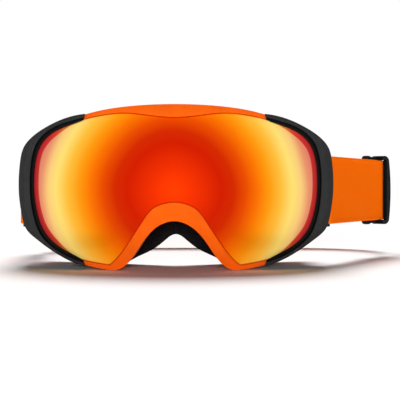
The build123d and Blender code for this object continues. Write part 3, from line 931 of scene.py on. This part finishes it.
def make_band(name, path, width=STRAP_WIDTH):
    """A woven band along a path of (centre, outward direction, travel[, thickness]) rows."""
    points = []
    travels = []
    crosses = []
    for row in path:
        centre, out, travel = row[:3]
        thickness = row[3] if len(row) > 3 else STRAP_THICKNESS
        section = band_section(width, thickness)
        for across, rise in section:
            points.append((centre[0] + out[0] * rise, centre[1] + out[1] * rise, centre[2] + across))
            travels.append(travel)
            crosses.append(across)
    columns = len(section)
    faces = grid_faces(len(path), columns)
    for first in (0, (len(path) - 1) * columns):
        cap = [len(points) + column for column in range(columns)]
        for source in range(first, first + columns):
            points.append(points[source])
            travels.append(travels[source])
            crosses.append(crosses[source])
        half = columns // 2
        for step in range(half - 1):
            faces.append((cap[step], cap[step + 1], cap[columns - 3 - step], cap[columns - 2 - step]))
        faces.append((cap[0], cap[columns - 2], cap[columns - 1]))
    band = make_object(name, points, faces, "strap_orange")
    layer = band.data.uv_layers.new(name="cloth")
    for corner in band.data.loops:
        index = corner.vertex_index
        layer.data[corner.index].uv = (travels[index] * MM, crosses[index] * MM)
    return band


def straight_path(side, start, end, out_start, out_end, count):
    """A path along a side's straight strap, from one depth to another."""
    _, _, out = strap_axes(side)
    rows = []
    for share in np.linspace(0.0, 1.0, count):
        along = start + (end - start) * share
        ease = share * share * (3 - 2 * share)
        depth = out_start + (out_end - out_start) * ease
        rows.append((strap_place(side, along, depth), tuple(out), along))
    return rows


REAR_ROWS = 170
LOOP_TURNS = 15
TAIL_DEPTH = 5.3
TAIL_REACH = 22.0
TAIL_INSET = 0.5
RIGHT_ROWS = 60
LEFT_ROWS = 30
RETURN_ROWS = 24
LOOP_ROWS = 5


def make_main_strap():
    """The long elastic band, from one arm round the back of the head to the other arm."""
    rows = straight_path("right", STRAP_START, STRAP_STRAIGHT, 0.0, 0.0, RIGHT_ROWS)[:-1]
    rear = rear_path(REAR_ROWS)
    rows += [(centre, out, STRAP_STRAIGHT + travel) for centre, out, travel in rear]
    rows = [
        (np.array(centre) - tuck(travel - STRAP_STRAIGHT) * np.array((*out, 0.0)), out, travel)
        for centre, out, travel in rows
    ]
    whole = STRAP_STRAIGHT + rear[-1][2]
    left = straight_path("left", STRAP_STRAIGHT, STRAP_START, 0.0, 0.0, LEFT_ROWS)[1:]
    rows += [(centre, out, whole + STRAP_STRAIGHT - travel) for centre, out, travel in left]
    band = make_band("strap_band", rows)
    return on_root(
        band, "strap_orange", "strap_right_front", "strap_left_front", "strap_right_bend",
        "strap_right_corner", "strap_back", "strap_left_corner", "strap_left_bend",
    )


def make_strap_loop(side):
    """The turn of strap round an arm's slot bar."""
    _, along, out = strap_axes(side)
    middle = RETURN_DEPTH / 2
    rows = straight_path(side, STRAP_START, 0.0, 0.0, 0.0, LOOP_ROWS)[:-1]
    travel = STRAP_START
    for turn in np.linspace(0.0, math.pi, LOOP_TURNS):
        forward = -math.sin(turn) * middle
        depth = -middle + math.cos(turn) * middle
        direction = out * math.cos(turn) - along * math.sin(turn)
        rows.append((strap_place(side, forward, depth), tuple(direction), travel + turn * middle))
    travel += math.pi * middle
    back = straight_path(side, 0.0, STRAP_START + 1.0, -RETURN_DEPTH, -RETURN_DEPTH, LOOP_ROWS)
    for centre, _, step in back[1:]:
        rows.append((centre, tuple(-out), travel + step))
    loop = make_band(f"{side}_strap_loop", rows)
    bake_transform(loop)
    return loop


def make_return_strap(side):
    """The doubled layer, from the loop back to the adjuster."""
    start = STRAP_START + 1.0
    end = ADJUSTER_AT - TAIL_REACH
    path = straight_path(side, start, end, -RETURN_DEPTH, -TAIL_DEPTH, RETURN_ROWS)
    piece = make_band(f"{side}_strap_return_layer", path)
    on_root(piece, "strap_orange", f"strap_{side}_return")
    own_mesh(piece)
    return piece


TAIL_ROUTE = (
    # along from the adjuster's middle, depth, thickness
    (-22.0, -5.3, 1.3), (-19.0, -5.3, 1.3), (-15.0, -5.3, 1.3), (-11.0, -5.2, 1.3), (-8.5, -4.85, 1.2),
    (-6.6, -3.9, 1.1), (-5.2, -2.6, 0.8), (-4.1, -1.4, 0.5), (-3.0, -0.98, 0.4), (-1.0, -0.95, 0.4),
    (1.0, -0.98, 0.4), (2.0, -1.5, 0.6), (2.5, -2.8, 0.9), (2.4, -4.2, 1.1), (1.6, -5.6, 1.2),
    (-0.5, -6.5, 1.3), (-3.5, -6.75, 1.3), (-8.0, -6.8, 1.3), (-13.0, -6.8, 1.3), (-19.0, -6.75, 1.25),
)


def make_strap_tail(side):
    """The strap's end, folded round the adjuster's middle bar and sewn back onto itself."""
    _, along, out = strap_axes(side)
    route = np.array(TAIL_ROUTE)
    rows = []
    travel = 0.0
    for index, (place, depth, thickness) in enumerate(route):
        before = route[max(index - 1, 0)]
        after = route[min(index + 1, len(route) - 1)]
        forward = after[0] - before[0]
        rise = after[1] - before[1]
        size = math.hypot(forward, rise)
        direction = (out * forward - along * rise) / size
        if index:
            travel += math.hypot(*(route[index][:2] - route[index - 1][:2]))
        rows.append((strap_place(side, ADJUSTER_AT + place, depth), tuple(direction), travel, thickness))
    tail = make_band(f"{side}_strap_tail", rows, width=STRAP_WIDTH - 2 * TAIL_INSET)
    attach(tail, f"{side}_adjuster")
    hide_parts(f"{side}_strap_end")
    return tail


STITCH_LENGTH = 2.2
STITCH_GAP = 0.7
STITCH_R = 0.22
STITCH_SIDES = 6
STITCH_RINGS = 5
BOX_ALONG = (-17.0, -7.0)
BOX_MARGIN = 3.0
BOX_DEPTH = -7.46


def stitch_points(start, end, lift):
    """One stitch as a small sunk sausage between two points."""
    start, end, lift = (np.array(value, float) for value in (start, end, lift))
    run = end - start
    side = np.cross(run / np.linalg.norm(run), lift)
    points = []
    for share in np.linspace(0.0, 1.0, STITCH_RINGS):
        fullness = math.sin(math.pi * (0.12 + 0.76 * share))
        centre = start + run * share + lift * STITCH_R * (fullness - 0.75)
        for step in range(STITCH_SIDES):
            turn = 2 * math.pi * step / STITCH_SIDES
            points.append(centre + (side * math.cos(turn) + lift * math.sin(turn)) * STITCH_R * fullness)
    return points


def make_stitches(name, rows, body):
    """Rows of stitches, each row a (start, end, lift) line, as one piece."""
    points = []
    faces = []
    for start, end, lift in rows:
        start, end = np.array(start, float), np.array(end, float)
        length = np.linalg.norm(end - start)
        count = max(1, round(length / (STITCH_LENGTH + STITCH_GAP)))
        for step in range(count):
            first = start + (end - start) * (step + 0.12) / count
            last = start + (end - start) * (step + 0.88) / count
            base = len(points)
            points += stitch_points(first, last, lift)
            for face in grid_faces(STITCH_RINGS, STITCH_SIDES):
                faces.append(tuple(base + index for index in face))
            faces.append(tuple(base + index for index in range(STITCH_SIDES)))
            last_ring = base + (STITCH_RINGS - 1) * STITCH_SIDES
            faces.append(tuple(last_ring + index for index in range(STITCH_SIDES)))
    piece = make_object(name, points, faces, "thread")
    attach(piece, body)
    return piece


def make_tail_stitches(side):
    """The sewn box with its cross on the inside of the strap's folded end."""
    _, _, out = strap_axes(side)
    lift = (*(-out), 0.0)
    near, far = (ADJUSTER_AT + along for along in BOX_ALONG)
    half = STRAP_WIDTH / 2 - BOX_MARGIN
    corner = lambda along, up: strap_place(side, along, BOX_DEPTH, up)
    rows = [
        (corner(near, -half), corner(near, half), lift),
        (corner(far, -half), corner(far, half), lift),
        (corner(near, -half), corner(far, -half), lift),
        (corner(near, half), corner(far, half), lift),
        (corner(near, -half), corner(far, half), lift),
        (corner(near, half), corner(far, -half), lift),
    ]
    make_stitches(f"{side}_tail_stitches", rows, f"{side}_adjuster")


GRIP_HEIGHTS = (-12.0, 0.0, 12.0)
GRIP_WAVE = 2.2
GRIP_WAVELENGTH = 16.0
GRIP_HALF_WIDTH = 1.1
GRIP_HEIGHT = 0.35
GRIP_SPAN = (0.3, 0.78)


def make_grip_lines():
    """Wavy silicone beads along the inside of the strap's rear, which keep it on a helmet."""
    path = rear_path(REAR_ROWS * 3)
    whole = path[-1][2]
    kept = [row for row in path if GRIP_SPAN[0] <= row[2] / whole <= GRIP_SPAN[1]]
    profile = [(math.cos(turn), max(0.0, math.sin(turn))) for turn in np.linspace(0.0, math.pi, 7)]
    points = []
    faces = []
    columns = len(profile) + 1
    for height in GRIP_HEIGHTS:
        base = len(points)
        for row, (centre, out, travel) in enumerate(kept):
            wave = height + GRIP_WAVE * math.sin(2 * math.pi * travel / GRIP_WAVELENGTH)
            end_share = min(1.0, 0.25 + 0.25 * min(row, len(kept) - 1 - row))
            for across, rise in profile:
                depth = STRAP_THICKNESS / 2 - 0.05 + GRIP_HEIGHT * rise * end_share
                points.append((
                    centre[0] - out[0] * depth, centre[1] - out[1] * depth,
                    centre[2] + wave + across * GRIP_HALF_WIDTH * end_share,
                ))
            depth = STRAP_THICKNESS / 2 - 0.2
            points.append((centre[0] - out[0] * depth, centre[1] - out[1] * depth, centre[2] + wave))
        for face in grid_faces(len(kept), columns):
            faces.append(tuple(base + index for index in face))
        faces.append(tuple(base + index for index in range(columns)))
        last = base + (len(kept) - 1) * columns
        faces.append(tuple(last + index for index in range(columns)))
    grip = make_object("strap_grip_lines", points, faces, "silicone")
    return on_root(grip, "strap_orange")


# ---- Stage, light and camera -------------------------------------------------------------------
CAMERA_PLACE = (0.0139, -0.520, 0.0)
CAMERA_LENS = 80.7
CAMERA_SHIFT_Y = -0.025
FLOOR_SIZE = 6.0
FLOOR_GAP = 0.0001
ROOM_LIGHT = 0.05
LIGHTS = (
    # name, turn in degrees, strength, softness in degrees
    ("overhead", (-32.0, 0.0, 0.0), 3.6, 28.0),
    ("front_fill", (88.0, 0.0, 0.0), 3.45, 24.0),
)


def make_stage():
    """Pale floor under the goggles, soft light all round and from above, and the camera."""
    half = FLOOR_SIZE / 2 / MM
    level = CAD_BOX[0][2] / MM - FLOOR_GAP / MM
    corners = [(-half, -half, level), (half, -half, level), (half, half, level), (-half, half, level)]
    floor = make_object("floor", corners, [(0, 1, 2, 3)], "floor", smooth=False)
    floor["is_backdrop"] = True
    world = bpy.data.worlds.new("studio")
    world.use_nodes = True
    tree = world.node_tree
    tree.nodes["Background"].inputs["Color"].default_value = (1.0, 1.0, 1.0, 1.0)
    rays = add_node(tree, "ShaderNodeLightPath")
    glow = map_range(tree, rays.outputs["Is Diffuse Ray"], 0.0, 1.0, 1.0, ROOM_LIGHT)
    tree.links.new(glow, tree.nodes["Background"].inputs["Strength"])
    SCENE.world = world
    for name, turn, strength, softness in LIGHTS:
        light = bpy.data.lights.new(name, "SUN")
        light.energy = strength
        light.angle = math.radians(softness)
        lamp = bpy.data.objects.new(name, light)
        lamp.rotation_euler = tuple(math.radians(angle) for angle in turn)
        lamp.visible_glossy = False
        SCENE.collection.objects.link(lamp)
    camera_data = bpy.data.cameras.new("camera")
    camera_data.lens = CAMERA_LENS
    camera_data.sensor_width = 36.0
    camera_data.shift_y = CAMERA_SHIFT_Y
    camera_data.clip_start = 0.01
    camera_data.clip_end = 20.0
    camera = bpy.data.objects.new("camera", camera_data)
    camera.location = CAMERA_PLACE
    camera.rotation_euler = (math.radians(90), 0.0, 0.0)
    SCENE.collection.objects.link(camera)
    SCENE.camera = camera
    SCENE.view_settings.view_transform = "Standard"
    SCENE.view_settings.look = "None"


# ---- Build -------------------------------------------------------------------------------------
make_lens()
finish_cad_nodes()
make_face_foam()
for node, (name, material, voxel) in SOFT_COPIES.items():
    make_soft_copy(node, name, material, voxel)
make_main_strap()
for side in SIDE_SIGN:
    make_strap_loop(side)
    make_return_strap(side)
    make_strap_tail(side)
    make_tail_stitches(side)
make_grip_lines()
make_stage()

NEW_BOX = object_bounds()
{"cad": [list(corner) for corner in CAD_BOX], "visual": [list(corner) for corner in NEW_BOX]}
